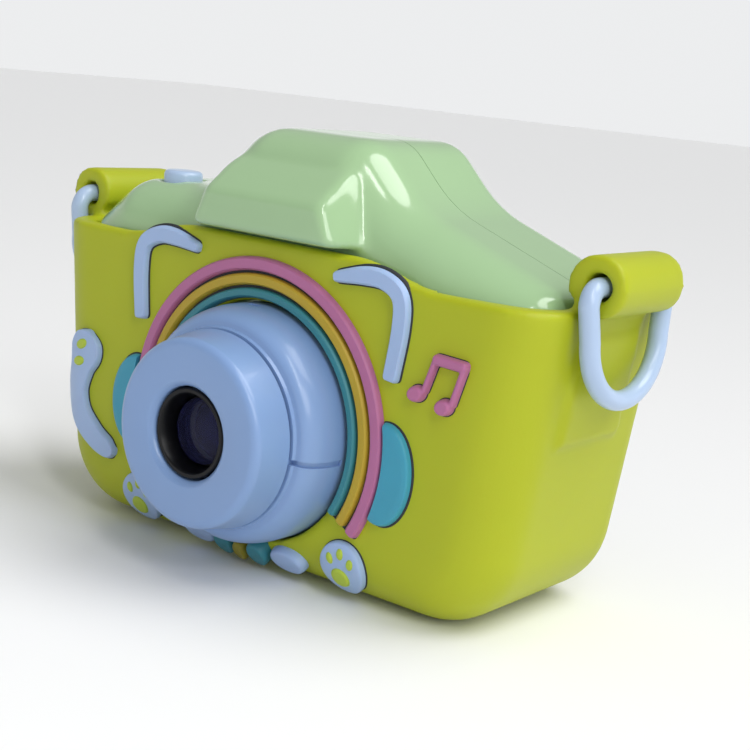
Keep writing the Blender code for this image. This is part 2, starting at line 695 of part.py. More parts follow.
clear_scene()
PARTS = collection("kids_digital_camera")
CUTTERS = collection("cutters")
make_case()
make_reliefs()
make_strap_rings()
make_front_shell()
make_rear_shell()
make_lens()
make_buttons()
make_rear_optics()
make_inside()
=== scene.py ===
"""Looks of the kids digital camera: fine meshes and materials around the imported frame."""

import json
import math

import bmesh
import bpy
from mathutils import Matrix, Vector


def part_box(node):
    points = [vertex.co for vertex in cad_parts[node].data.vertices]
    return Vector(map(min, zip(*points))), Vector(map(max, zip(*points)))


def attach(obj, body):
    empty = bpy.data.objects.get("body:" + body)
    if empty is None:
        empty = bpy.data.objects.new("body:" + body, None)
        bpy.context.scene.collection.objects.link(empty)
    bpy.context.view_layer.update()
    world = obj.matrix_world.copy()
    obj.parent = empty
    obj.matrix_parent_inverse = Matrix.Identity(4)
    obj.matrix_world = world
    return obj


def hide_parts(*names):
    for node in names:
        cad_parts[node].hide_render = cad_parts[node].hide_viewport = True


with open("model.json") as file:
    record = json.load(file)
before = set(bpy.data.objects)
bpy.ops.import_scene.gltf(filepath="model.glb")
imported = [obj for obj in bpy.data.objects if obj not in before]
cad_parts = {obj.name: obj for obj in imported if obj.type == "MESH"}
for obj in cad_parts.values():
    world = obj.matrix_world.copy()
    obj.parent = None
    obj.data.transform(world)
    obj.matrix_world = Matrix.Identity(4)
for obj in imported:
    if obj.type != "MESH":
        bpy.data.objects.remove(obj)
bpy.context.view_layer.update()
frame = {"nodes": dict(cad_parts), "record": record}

MM = 0.001
ROOT = "camera"

# Sizes in millimetres. Those of the case, the body, the lens base, the ring and the screen repeat the frame's
FACE = round(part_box("silicone_case")[1].y / MM, 3)
CASE_HALF = 45.4
LEAN = 0.1117
CASE_CORNER = 13.7
FRONT_ROUND = 9.0
BACK_ROUND = 5.0
WALL = 2.6
GAP = 0.3
BODY_FRONT = -FACE + WALL + GAP
BODY_BACK = 16.0
BODY_ROUND = 4.0
SHELL = 2.0
LENS_Z = 24.3
LENS_HOLE = 19.3
BARREL = 19.0
SHOULDER = (16.2, -20.6)
SHOULDER_WIDE = 2.8
SHOULDER_DEEP = 6.2
BAR_X = 52.6
BAR_Z = 54.0
ROD = 1.5
LUG_HALF = 9.2
RING_HALF = 11.2
RING_LEAN = 0.075
EYE_Z = 58.4
GLASS_X = 27.0
GLASS_LOW = 7.0
GLASS_HIGH = 49.8
SHUTTER = (-32.85, -5.5)
SIDES = ((-1, "left"), (1, "right"))
MICROPHONE = (31.6, 51.8)
STATUS_LIGHT = (-30.5, 34.9)
REAR_BUTTONS = ("power_button", "up_button", "left_button", "right_button", "down_button")

# The shells' seam: half the gap between their skins, finer than the frame's, and how far each shell is
# built past it before it is cut square
SEAM = 0.06
SEAM_SPARE = 2.0

# Reliefs on the case: height of the top, reach of the rounded edge, and how the ends round over
RELIEF_TOP = 1.15
EDGE = 0.45
END_CORNER = 0.9
END_STEPS = (0.04, 0.12, 0.25, 0.42, 0.65)
# Height of the dark band that paints the shade in the grooves round the reliefs
GROOVE_SHADE_TOP = 0.2

# Voxel sizes for pieces whose edges are softened by remeshing
SOFT_VOXEL = 0.6
SHELL_VOXEL = 0.55
NOTE_VOXEL = 0.14


# ---------------------------------------------------------------- materials


def srgb(r, g, b):
    """An 8-bit screen colour as linear light."""
    out = []
    for value in (r, g, b):
        c = value / 255
        out.append(c / 12.92 if c <= 0.04045 else ((c + 0.055) / 1.055) ** 2.4)
    return (*out, 1.0)


def shade(colour, factor):
    return (*[min(1.0, c * factor) for c in colour[:3]], 1.0)


MATERIALS = {}
BUMP_STRENGTH = 5
BUMP_DEPTH = 0.0002


def plastic(name, colour, rough, vary=0.05, mottle=60, grain=2500, bump=0.02, worn=0.1, **extra):
    """Moulded material: slow colour drift, uneven gloss and a fine surface grain, all from noise."""
    if name in MATERIALS:
        return MATERIALS[name]
    mat = bpy.data.materials.new(name)
    mat.use_nodes = True
    nodes, links = mat.node_tree.nodes, mat.node_tree.links
    shader = nodes["Principled BSDF"]
    place = nodes.new("ShaderNodeTexCoord")
    drift = nodes.new("ShaderNodeTexNoise")
    drift.inputs["Scale"].default_value = mottle
    drift.inputs["Detail"].default_value = 4
    links.new(place.outputs["Object"], drift.inputs["Vector"])
    ramp = nodes.new("ShaderNodeValToRGB")
    ramp.color_ramp.elements[0].position = 0.3
    ramp.color_ramp.elements[1].position = 0.7
    ramp.color_ramp.elements[0].color = shade(colour, 1 - vary)
    ramp.color_ramp.elements[1].color = shade(colour, 1 + vary)
    links.new(drift.outputs["Fac"], ramp.inputs["Fac"])
    links.new(ramp.outputs["Color"], shader.inputs["Base Color"])
    gloss = nodes.new("ShaderNodeMapRange")
    gloss.inputs["To Min"].default_value = max(0.02, rough - worn * rough)
    gloss.inputs["To Max"].default_value = min(1.0, rough + worn * rough)
    links.new(drift.outputs["Fac"], gloss.inputs["Value"])
    links.new(gloss.outputs["Result"], shader.inputs["Roughness"])
    fine = nodes.new("ShaderNodeTexNoise")
    fine.inputs["Scale"].default_value = grain
    fine.inputs["Detail"].default_value = 3
    links.new(place.outputs["Object"], fine.inputs["Vector"])
    relief = nodes.new("ShaderNodeBump")
    relief.inputs["Strength"].default_value = bump * BUMP_STRENGTH
    relief.inputs["Distance"].default_value = BUMP_DEPTH
    links.new(fine.outputs["Fac"], relief.inputs["Height"])
    links.new(relief.outputs["Normal"], shader.inputs["Normal"])
    for socket, value in extra.items():
        shader.inputs[socket.replace("_", " ")].default_value = value
    MATERIALS[name] = mat
    return mat


def board_material():
    """Green solder mask with a grid of paler tracks."""
    mat = plastic("circuit_board", srgb(30, 105, 60), 0.4, vary=0.12)
    nodes, links = mat.node_tree.nodes, mat.node_tree.links
    place = next(n for n in nodes if n.type == "TEX_COORD")
    tracks = nodes.new("ShaderNodeTexBrick")
    tracks.inputs["Scale"].default_value = 260
    tracks.inputs["Color1"].default_value = srgb(30, 105, 60)
    tracks.inputs["Color2"].default_value = srgb(24, 92, 52)
    tracks.inputs["Mortar"].default_value = srgb(120, 150, 80)
    tracks.inputs["Mortar Size"].default_value = 0.04
    links.new(place.outputs["Object"], tracks.inputs["Vector"])
    links.new(tracks.outputs["Color"], nodes["Principled BSDF"].inputs["Base Color"])
    return mat


def make_materials():
    rubber = {"Specular_IOR_Level": 0.35, "Subsurface_Weight": 0.06, "Subsurface_Scale": 0.003}
    dull = {"Specular_IOR_Level": 0.25, "bump": 0.0}
    plastic("case_silicone", srgb(168, 177, 24), 0.46, vary=0.05, mottle=16, bump=0.012, **rubber)
    plastic("shell_mint", srgb(157, 190, 144), 0.16, vary=0.02, mottle=30, bump=0.002, Coat_Weight=0.4)
    plastic("trim_blue", srgb(124, 154, 200), 0.32, vary=0.02, mottle=50, bump=0.006, Coat_Weight=0.2)
    plastic("ring_blue", srgb(168, 189, 218), 0.3, vary=0.02, mottle=50, bump=0.006, Coat_Weight=0.2)
    plastic("relief_blue", srgb(158, 182, 220), 0.42, vary=0.03, **rubber)
    plastic("relief_pink", srgb(176, 106, 148), 0.42, vary=0.04, **rubber)
    plastic("relief_yellow", srgb(180, 154, 46), 0.42, vary=0.04, **rubber)
    plastic("relief_teal", srgb(58, 130, 142), 0.42, vary=0.05, **rubber)
    plastic("relief_aqua", srgb(62, 150, 176), 0.42, vary=0.05, **rubber)
    plastic("relief_olive", srgb(140, 130, 36), 0.45, vary=0.05, **rubber)
    plastic("relief_green", srgb(172, 192, 62), 0.42, vary=0.05, **rubber)
    # Near-black painted shade for the narrow grooves between and round the reliefs
    plastic("groove_painted_shade", srgb(34, 38, 44), 0.7, vary=0.1)
    plastic("black_plastic", srgb(6, 6, 9), 0.35, vary=0.15, **dull)
    plastic("dark_glass", srgb(6, 6, 14), 0.06, vary=0.1, **dull)
    plastic("panel_glow", srgb(24, 24, 50), 0.16, vary=0.12, mottle=18, **dull)
    plastic("clear_lens", srgb(12, 12, 44), 0.05, vary=0.1, bump=0.0)
    plastic("battery_foil", srgb(190, 192, 198), 0.35, vary=0.05, Metallic=0.9)
    plastic("plated_steel", srgb(186, 186, 190), 0.28, vary=0.05, Metallic=1.0)
    plastic("mark_blue", srgb(112, 134, 196), 0.4, vary=0.04)
    plastic("gasket_black", srgb(4, 4, 6), 0.5, vary=0.15, Specular_IOR_Level=0.2)
    clear = {"Transmission_Weight": 0.95, "IOR": 1.2}
    plastic("window_clear", srgb(110, 115, 180), 0.03, vary=0.02, bump=0.0, **clear)
    board_material()


def dress_frame():
    """Every carried-over solid takes the procedural finish of its own slot."""
    slots = {s["node"]: s["material_slot"] for s in frame["record"]["subparts"]}
    for name, obj in frame["nodes"].items():
        obj.data.materials.clear()
        obj.data.materials.append(MATERIALS[slots[name]])


# ---------------------------------------------------------------- mesh helpers


def add_mesh(name, bm):
    """Turns a bmesh in millimetres into an object in metres."""
    bmesh.ops.recalc_face_normals(bm, faces=bm.faces)
    bmesh.ops.scale(bm, vec=(MM, MM, MM), verts=bm.verts)
    mesh = bpy.data.meshes.new(name)
    bm.to_mesh(mesh)
    bm.free()
    obj = bpy.data.objects.new(name, mesh)
    bpy.context.scene.collection.objects.link(obj)
    mesh.shade_smooth()
    mesh.set_sharp_from_angle(angle=math.radians(40))
    return obj


def boolean(obj, other, operation="DIFFERENCE"):
    mod = obj.modifiers.new(other.name, "BOOLEAN")
    mod.operation = operation
    mod.object = other
    return obj


def bake(obj, sharp=None):
    """Applies the modifiers and removes the cutters they used."""
    tools = [m.object for m in obj.modifiers if m.type == "BOOLEAN"]
    graph = bpy.context.evaluated_depsgraph_get()
    mesh = bpy.data.meshes.new_from_object(obj.evaluated_get(graph))
    obj.modifiers.clear()
    obj.data = mesh
    for tool in tools:
        bpy.data.objects.remove(tool, do_unlink=True)
    mesh.shade_smooth()
    if sharp:
        mesh.set_sharp_from_angle(angle=math.radians(sharp))
    return obj


def soften(obj, voxel, passes):
    """Rounds every edge of a cut solid: voxel remesh, then smoothing."""
    bake(obj)
    remesh = obj.modifiers.new("remesh", "REMESH")
    remesh.mode = "VOXEL"
    remesh.voxel_size = voxel * MM
    remesh.use_smooth_shade = True
    smooth = obj.modifiers.new("smooth", "SMOOTH")
    smooth.factor = 0.5
    smooth.iterations = passes
    return bake(obj)


def trim_at(obj, y, front):
    """Cuts a softened shell square at y, keeps its front or its back, and closes the cut."""
    bm = bmesh.new()
    bm.from_mesh(obj.data)
    geometry = bm.verts[:] + bm.edges[:] + bm.faces[:]
    way = (0, 1, 0) if front else (0, -1, 0)
    spot = (0, y * MM, 0)
    cut = bmesh.ops.bisect_plane(bm, geom=geometry, plane_co=spot, plane_no=way, clear_outer=True)
    edges = [e for e in cut["geom_cut"] if isinstance(e, bmesh.types.BMEdge)]
    bmesh.ops.triangle_fill(bm, use_beauty=True, use_dissolve=False, edges=edges, normal=way)
    bm.to_mesh(obj.data)
    bm.free()
    obj.data.set_sharp_from_angle(angle=math.radians(60))


def keep(obj, finish, *nodes, body=ROOT, slot=None):
    """Gives a piece its finish and its body, and hides the frame solids that it stands for."""
    obj.data.materials.clear()
    obj.data.materials.append(MATERIALS[finish])
    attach(obj, body)
    if nodes:
        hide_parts(*nodes)
    return obj


def rounded(corners, steps):
    """Closed outline through (x, z, radius) corners, each turned into an arc."""
    points = []
    for i, (x, z, radius) in enumerate(corners):
        corner = Vector((x, z))
        before = (Vector(corners[i - 1][:2]) - corner).normalized()
        after = (Vector(corners[(i + 1) % len(corners)][:2]) - corner).normalized()
        half = before.angle(after) / 2
        centre = corner + (before + after).normalized() * radius / math.sin(half)
        start = corner + before * radius / math.tan(half) - centre
        end = corner + after * radius / math.tan(half) - centre
        turn = start.angle_signed(end)
        for k in range(steps + 1):
            angle = -turn * k / steps
            cos, sin = math.cos(angle), math.sin(angle)
            spoke = Vector((start.x * cos - start.y * sin, start.x * sin + start.y * cos))
            points.append(centre + spoke)
    return points


def inset(corners, distance):
    """The same corners, for an outline moved inwards by distance; the corners run anticlockwise."""
    result = []
    for i, (x, z, radius) in enumerate(corners):
        corner = Vector((x, z))
        before = (corner - Vector(corners[i - 1][:2])).normalized()
        after = (Vector(corners[(i + 1) % len(corners)][:2]) - corner).normalized()
        normal = Vector((-before.y - after.y, before.x + after.x)).normalized()
        reach = distance / max(0.2, normal.dot(Vector((-after.y, after.x))))
        convex = before.x * after.y - before.y * after.x > 0
        moved = corner + normal * reach
        new_radius = radius - distance if convex else radius + distance
        result.append((moved.x, moved.y, max(0.3, new_radius)))
    return result


def loft(name, rings):
    """Skins rings of equally many 3-D points and closes both ends."""
    bm = bmesh.new()
    rows = [[bm.verts.new(p) for p in ring] for ring in rings]
    for low, high in zip(rows, rows[1:]):
        for k in range(len(low)):
            n = (k + 1) % len(low)
            bm.faces.new((low[k], low[n], high[n], high[k]))
    bm.faces.new(rows[0])
    bm.faces.new(rows[-1])
    return add_mesh(name, bm)


def ring_at(corners, y, moved_in, steps):
    """The outline at one y, moved inwards, as 3-D points."""
    outline = inset(corners, moved_in) if moved_in else corners
    return [(p.x, y, p.y) for p in rounded(outline, steps)]


def block(name, corners, y_front, y_back, front=0.0, back=0.0, steps=10, edge=8):
    """An outline in X and Z carried along Y, with quarter-round front and back edges."""
    rings = []
    for k in range(edge if front else 0):
        a = math.radians(90 * k / edge)
        y, moved_in = y_front + front * (1 - math.cos(a)), front * (1 - math.sin(a))
        rings.append(ring_at(corners, y, moved_in, steps))
    rings.append(ring_at(corners, y_front + front, 0, steps))
    rings.append(ring_at(corners, y_back - back, 0, steps))
    for k in range(1, edge + 1 if back else 0):
        a = math.radians(90 * k / edge)
        y, moved_in = y_back - back * (1 - math.sin(a)), back * (1 - math.cos(a))
        rings.append(ring_at(corners, y, moved_in, steps))
    return loft(name, rings)


def box(name, low, high):
    bm = bmesh.new()
    bmesh.ops.create_cube(bm, size=1.0)
    bmesh.ops.scale(bm, vec=[b - a for a, b in zip(low, high)], verts=bm.verts)
    bmesh.ops.translate(bm, vec=[(a + b) / 2 for a, b in zip(low, high)], verts=bm.verts)
    return add_mesh(name, bm)


def cylinder(name, centre, radius, length, axis, sides=64):
    """A cylinder that starts at centre and runs for length along +axis."""
    bm = bmesh.new()
    ends = {"radius1": radius, "radius2": radius, "cap_ends": True}
    bmesh.ops.create_cone(bm, segments=sides, depth=length, **ends)
    bmesh.ops.translate(bm, vec=(0, 0, length / 2), verts=bm.verts)
    turn = Vector((0, 0, 1)).rotation_difference(Vector(axis)).to_matrix()
    bmesh.ops.rotate(bm, cent=(0, 0, 0), matrix=turn, verts=bm.verts)
    bmesh.ops.translate(bm, vec=centre, verts=bm.verts)
    return add_mesh(name, bm)


def turned(name, profile, sides=128):
    """A closed (radius, y) profile turned about the lens axis."""
    bm = bmesh.new()
    rows = []
    for k in range(sides):
        a = 2 * math.pi * k / sides
        cos, sin = math.cos(a), math.sin(a)
        rows.append([bm.verts.new((r * cos, y, LENS_Z + r * sin)) for r, y in profile])
    for k, row in enumerate(rows):
        other = rows[(k + 1) % sides]
        for i in range(len(profile)):
            n = (i + 1) % len(profile)
            bm.faces.new((row[i], row[n], other[n], other[i]))
    return add_mesh(name, bm)


def circle(x, y, z, radius, sides):
    """Points of a circle round an axis along Y."""
    angles = [math.radians(360 / sides * k) for k in range(sides)]
    return [(x + radius * math.cos(a), y, z + radius * math.sin(a)) for a in angles]


def quarter(centre_r, centre_y, reach_r, reach_y, steps=8):
    """Profile points of a quarter ellipse, from the outermost radius to the foremost y."""
    points = []
    for k in range(steps + 1):
        a = math.radians(90 * k / steps)
        points.append((centre_r + reach_r * math.cos(a), centre_y - reach_y * math.sin(a)))
    return points


# ---------------------------------------------------------------- case surface


def mirrored(right):
    """Right-hand (x, z, radius) corners, followed by their mirror images in reverse order."""
    return right + [(-x, z, radius) for x, z, radius in reversed(right)]


def case_corners():
    """The case's silhouette: sides that lean out, carried up past its mouth."""
    top = 62.0
    side = CASE_HALF + LEAN * top
    return mirrored([(CASE_HALF, 0.0, CASE_CORNER), (side, top, 0.5)])


def body_corners():
    """The camera body's silhouette: sloping shoulders, a hump, and a higher shutter shoulder."""
    foot = WALL + GAP
    half = CASE_HALF - foot + LEAN * foot
    return [
        (half, foot, CASE_CORNER - foot),
        (48.1, 51.2, 4.5),
        (20.8, 60.8, 22.0),
        (11.4, 70.2, 8.0),
        (-10.6, 70.2, 8.0),
        (-20.6, 59.4, 13.0),
        (-38.3, 58.6, 8.0),
        (-48.0, 50.4, 4.5),
        (-half, foot, CASE_CORNER - foot),
    ]


def front_y(x, z):
    """Y of the case's front skin over (x, z): flat, then rounding back at the sides and foot."""
    to_side = (CASE_HALF + LEAN * z - abs(x)) * math.cos(math.atan(LEAN))
    near = min(to_side, z)
    if to_side < CASE_CORNER and z < CASE_CORNER:
        near = CASE_CORNER - math.hypot(CASE_CORNER - to_side, CASE_CORNER - z)
    least = 0.02
    near = min(max(near, least), FRONT_ROUND)
    return -FACE + FRONT_ROUND - math.sqrt(FRONT_ROUND**2 - (FRONT_ROUND - near) ** 2)


def on_case(x, z, height):
    """The point height millimetres out from the case's front skin over (x, z)."""
    d = 0.05
    slope_x = (front_y(x + d, z) - front_y(x - d, z)) / (2 * d)
    slope_z = (front_y(x, z + d) - front_y(x, z - d)) / (2 * d)
    out = Vector((slope_x, -1, slope_z)).normalized()
    return Vector((x, front_y(x, z), z)) + out * height


def smooth_path(points, samples):
    """Catmull-Rom curve through points of any dimension, as samples + 1 points."""
    pts = [Vector(p) for p in points]
    pts = [2 * pts[0] - pts[1], *pts, 2 * pts[-1] - pts[-2]]
    spans = len(pts) - 3
    out = []
    for k in range(samples + 1):
        t = min(k * spans / samples, spans - 1e-6)
        i = int(t)
        u = t - i
        a, b, c, d = pts[i : i + 4]
        square = 2 * a - 5 * b + 4 * c - d
        cube = 3 * b - a - 3 * c + d
        out.append(0.5 * (2 * b + (c - a) * u + square * u * u + cube * u**3))
    return out


def crown(t, half, top, base):
    """Height of a raised band at t (-1..1) across: flat in the middle, rounded over at both edges."""
    inside = (1 - abs(t)) * half
    if inside >= EDGE:
        return top
    return base + (top - base) * rounding(inside / EDGE)


def across_steps(half):
    """Positions across a band, crowded where its edges round over."""
    curve = [1 - EDGE / half * (1 - math.cos(math.radians(a))) for a in (0, 20, 40, 60, 90)]
    middle = [curve[-1] * k / 3 for k in (2, 1, 0, -1, -2)]
    return curve + middle + [-c for c in reversed(curve)]


def end_stations(path):
    """The path with extra stations close to both ends, where the band rounds over."""
    for _ in range(2):
        first, second = Vector(path[0]), Vector(path[1])
        reach = (second - first).xy.length
        extra = [tuple(first.lerp(second, d / reach)) for d in END_STEPS if d < reach * 0.9]
        path = [path[0], *extra, *path[1:]]
        path.reverse()
    return path


def rounding(share):
    """Height of a quarter round at this share of its reach, from 0 to 1."""
    return math.sqrt(max(0.0, 1 - (1 - min(1.0, share)) ** 2))


def ribbon(name, path, top=RELIEF_TOP, base=-0.4):
    """A raised, round-edged band: path holds (x, z, half width) stations, and its ends round over too."""
    bm = bmesh.new()
    path = end_stations(list(path))
    lengths = [0.0]
    for a, b in zip(path, path[1:]):
        lengths.append(lengths[-1] + math.hypot(b[0] - a[0], b[1] - a[1]))
    rows = []
    floor = []
    for i, (x, z, half) in enumerate(path):
        last = path[min(i + 1, len(path) - 1)]
        first = path[max(i - 1, 0)]
        along = Vector((last[0] - first[0], last[1] - first[1])).normalized()
        from_end = min(lengths[i], lengths[-1] - lengths[i])
        lift = rounding(from_end / EDGE)
        corner = min(END_CORNER, half * 0.8)
        half -= corner * (1 - rounding(from_end / corner))
        side = Vector((-along.y, along.x)) * half
        steps = across_steps(max(half, EDGE * 1.1))
        row = []
        for t in steps:
            height = base + (crown(t, half, top, base) - base) * lift
            row.append(bm.verts.new(on_case(x + side.x * t, z + side.y * t, height)))
        rows.append(row)
        under = [on_case(x + side.x * t, z + side.y * t, base - 0.05) for t in (steps[0], steps[-1])]
        floor.append([bm.verts.new(point) for point in under])
    count = len(rows[0])
    for (low, high), (under, above) in zip(zip(rows, rows[1:]), zip(floor, floor[1:])):
        for k in range(count - 1):
            bm.faces.new((low[k], low[k + 1], high[k + 1], high[k]))
        bm.faces.new((under[0], low[0], high[0], above[0]))
        bm.faces.new((under[1], above[1], high[-1], low[-1]))
        bm.faces.new((under[0], above[0], above[1], under[1]))
    for row, under in ((rows[0], floor[0]), (rows[-1], floor[-1])):
        bm.faces.new([under[0], *row, under[1]])
    return add_mesh(name, bm)


def blob(name, centre, half_x, half_z, tilt=0.0, top=RELIEF_TOP, base=-0.4, sides=48):
    """A raised oval with a rounded rim that follows the case's front skin."""
    bm = bmesh.new()
    small = min(half_x, half_z)
    shares = [k / 5 * (1 - EDGE / small) for k in range(1, 6)]
    shares += [1 - EDGE / small * (1 - math.sin(math.radians(a))) for a in (20, 40, 60, 90)]
    middle = bm.verts.new(on_case(centre[0], centre[1], top))
    below = bm.verts.new(on_case(centre[0], centre[1], base - 0.05))
    before = None
    for share in shares:
        inside = (1 - share) * small
        rise = rounding(inside / EDGE)
        loop = []
        for k in range(sides):
            a = 2 * math.pi * k / sides
            x, z = half_x * math.cos(a) * share, half_z * math.sin(a) * share
            px = centre[0] + x * math.cos(tilt) - z * math.sin(tilt)
            pz = centre[1] + x * math.sin(tilt) + z * math.cos(tilt)
            loop.append(bm.verts.new(on_case(px, pz, base + (top - base) * rise)))
        for k in range(sides):
            n = (k + 1) % sides
            if before:
                bm.faces.new((before[k], before[n], loop[n], loop[k]))
            else:
                bm.faces.new((middle, loop[k], loop[n]))
        before = loop
    for k in range(sides):
        bm.faces.new((below, before[(k + 1) % sides], before[k]))
    return add_mesh(name, bm)


def groove_shade(name, path, widen=0.32):
    """The dark line of painted groove shade around a band: a slightly wider, much lower band under it."""
    return ribbon(name, [(x, z, half + widen) for x, z, half in path], top=0.22, base=-0.4)


def arc(radius, first, last, samples, half):
    """Stations of a band round the lens axis, from one angle to another in degrees."""
    path = []
    for k in range(samples + 1):
        a = math.radians(first + (last - first) * k / samples)
        path.append((radius * math.cos(a), LENS_Z + radius * math.sin(a), half))
    return path


# ---------------------------------------------------------------- soft case


def lug_corners(side):
    """Outline of a strap lug: a neck on the case's side under a rounded head."""
    corners = [
        (50.0, 43.0, 0.3),
        (51.6, 49.6, 1.0),
        (57.0, 49.6, 4.2),
        (57.0, 58.6, 4.4),
        (47.7, 58.6, 4.4),
        (47.7, 52.5, 1.4),
        (49.2, 51.8, 0.3),
        (49.2, 43.0, 0.3),
    ]
    if side > 0:
        return corners
    return [(-x, z, r) for x, z, r in reversed(corners)]


def side_patch(name, side):
    """The slightly raised rectangle under each strap lug, leaning with the case's side."""
    size = (2.5, 17.0, 16.0)
    middle = 38.0
    sunk = 0.3
    lean = Matrix.Rotation(side * math.atan(LEAN), 3, "Y")
    bm = bmesh.new()
    bmesh.ops.create_cube(bm, size=1.0)
    bmesh.ops.scale(bm, vec=size, verts=bm.verts)
    bmesh.ops.rotate(bm, cent=(0, 0, 0), matrix=lean, verts=bm.verts)
    bmesh.ops.translate(bm, vec=(side * (CASE_HALF + LEAN * middle - sunk), 0, middle), verts=bm.verts)
    return add_mesh(name, bm)


def mouth_cutter():
    """All above the mouth's rim, which rises in a smooth step towards the middle of the case."""
    far, deep = 70, 30.0
    low, rise = 50.3, 3.0
    step_x, step_width, steps = -33.0, 17.0, 24
    rim = [(-far, low)]
    for k in range(steps + 1):
        t = k / steps
        rim.append((step_x + step_width * t, low + rise * (3 * t * t - 2 * t**3)))
    rim += [(-x, z) for x, z in reversed(rim)]
    outline = rim + [(far, 90), (-far, 90)]
    return loft("case_mouth", [[(x, y, z) for x, z in outline] for y in (-deep, deep)])


def strip_corner(name, x, z, side, radius):
    """Rounds the inner top corner of a rear strip: the square corner minus a quarter disc."""
    steps = 10
    outline = [(x - side, z + 1), (x + side * radius, z + 1)]
    for k in range(steps + 1):
        a = math.radians(90 + 90 * k / steps)
        outline.append((x + side * radius * (1 + math.cos(a)), z - radius + radius * math.sin(a)))
    outline.append((x - side, z - radius))
    return loft(name, [[(px, y, pz) for px, pz in outline] for y in (14.0, 30.0)])


def make_case():
    """The sleeve: lugs and patches joined on, then hollowed and opened at the top, behind and below."""
    case = block("case_skin", case_corners(), -FACE, FACE, FRONT_ROUND, BACK_ROUND, 12, 10)
    boolean(case, mouth_cutter())
    for side, word in SIDES:
        boolean(case, block("lug_" + word, lug_corners(side), -LUG_HALF, LUG_HALF), "UNION")
        boolean(case, side_patch("patch_" + word, side), "UNION")
        boolean(case, cylinder("bar_hole_" + word, (side * BAR_X, -15, BAR_Z), ROD + 0.6, 30, (0, 1, 0)))
    room = inset(body_corners(), -GAP)
    boolean(case, block("case_cavity", room, BODY_FRONT - GAP, BODY_BACK + GAP, FRONT_ROUND, BODY_ROUND))
    window = [(30.4, 5.6, 5.5), (36.5, 90, 0.3), (-49.6, 90, 0.3), (-40.8, 5.6, 6.0)]
    boolean(case, block("rear_opening", window, 12.0, 30.0))
    boolean(case, strip_corner("strip_corner_left", 33.6, 50.3, 1, 6.0))
    boolean(case, strip_corner("strip_corner_right", -45.4, 50.3, -1, 2.6))
    boolean(case, cylinder("lens_opening", (0, -30, LENS_Z), LENS_HOLE, 20, (0, 1, 0), sides=128))
    boolean(case, box("port_opening", (-31.9, 1.8, -5), (-8.1, 8.6, 6)))
    soften(case, SOFT_VOXEL, 6)
    keep(case, "case_silicone", "silicone_case")


def lens_cutter(radius):
    """Clears what lies within this radius of the lens axis, in front of the camera's middle."""
    return cylinder("pad_trim", (0, -40, LENS_Z), radius, 40, (0, 1, 0), sides=128)


def make_reliefs():
    """The rainbow round the lens, the ears and the ear-cup pads, then the smaller reliefs."""
    for word, inner, outer in (("pink", 24.0, 26.3), ("yellow", 21.7, 23.7), ("teal", 19.7, 21.4)):
        path = arc((inner + outer) / 2, -31, 211, 120, (outer - inner) / 2)
        node = "rainbow_band_" + word
        keep(ribbon(node + "_skin", path), "relief_" + word, node)
    # The rainbow's dark underlay shows in the gaps between its bands as painted groove shade
    groove_shade_path = arc(23.0, -31.8, 211.8, 120, 3.35)
    # Radii round the lens inside which the pads and their dark outlines of painted groove shade are cut away
    pad_clear, groove_shade_clear = 26.75, 26.4
    keep(ribbon("rainbow_groove_shade", groove_shade_path, top=GROOVE_SHADE_TOP), "groove_painted_shade", slot="black_plastic")
    ear = [
        (26.3, 36.2, 1.4), (27.2, 44.5, 1.5), (26.6, 48.9, 1.5),
        (23.5, 50.8, 1.5), (19.5, 50.9, 1.45), (14.0, 49.9, 0.9),
    ]
    for side, word in SIDES:
        path = [(side * x, z, h) for x, z, h in smooth_path(ear, 48)]
        keep(ribbon(f"ear_{word}_skin", path), "relief_blue", "ear_relief_" + word)
        # Dark band round the ear: painted groove shade
        keep(groove_shade(f"ear_{word}_groove", path), "groove_painted_shade", slot="black_plastic")
        # Dark band round the pad: painted groove shade, cut back near the lens
        pad_groove_shade = blob(f"pad_{word}_groove", (side * 26.8, 22.2), 5.4, 8.35, top=GROOVE_SHADE_TOP)
        boolean(pad_groove_shade, lens_cutter(groove_shade_clear))
        keep(bake(pad_groove_shade, 40), "groove_painted_shade", slot="black_plastic")
        pad = blob(f"pad_{word}_skin", (side * 26.6, 22.2), 5.2, 8.0)
        boolean(pad, lens_cutter(pad_clear))
        keep(bake(pad, 40), "relief_aqua", "headphone_pad_" + word, slot="relief_teal")
    make_tail()
    make_paws()
    make_bow()
    make_note()


def make_tail():
    """A curved tail with two small green spots."""
    tail = [
        (-38.9, 32.0, 0.9), (-39.2, 30.6, 3.0), (-39.6, 28.2, 3.8), (-40.6, 25.0, 2.9),
        (-41.4, 21.2, 2.7), (-40.0, 17.2, 2.5), (-36.2, 13.9, 2.3), (-32.6, 12.3, 1.9), (-30.6, 12.0, 0.8),
    ]
    path = [tuple(p) for p in smooth_path(tail, 80)]
    keep(ribbon("tail_skin", path), "relief_blue", "tail_relief")
    # Dark band round the tail: painted groove shade
    keep(groove_shade("tail_groove_shade", path, 0.25), "groove_painted_shade", slot="black_plastic")
    for k, (x, z, tilt) in enumerate(((-40.0, 29.4, 0.5), (-40.5, 26.3, 0.3))):
        spot = blob(f"tail_spot_{k}", (x, z), 1.5, 0.95, tilt, top=RELIEF_TOP + 0.3, base=0.6)
        keep(spot, "relief_green", slot="relief_olive")


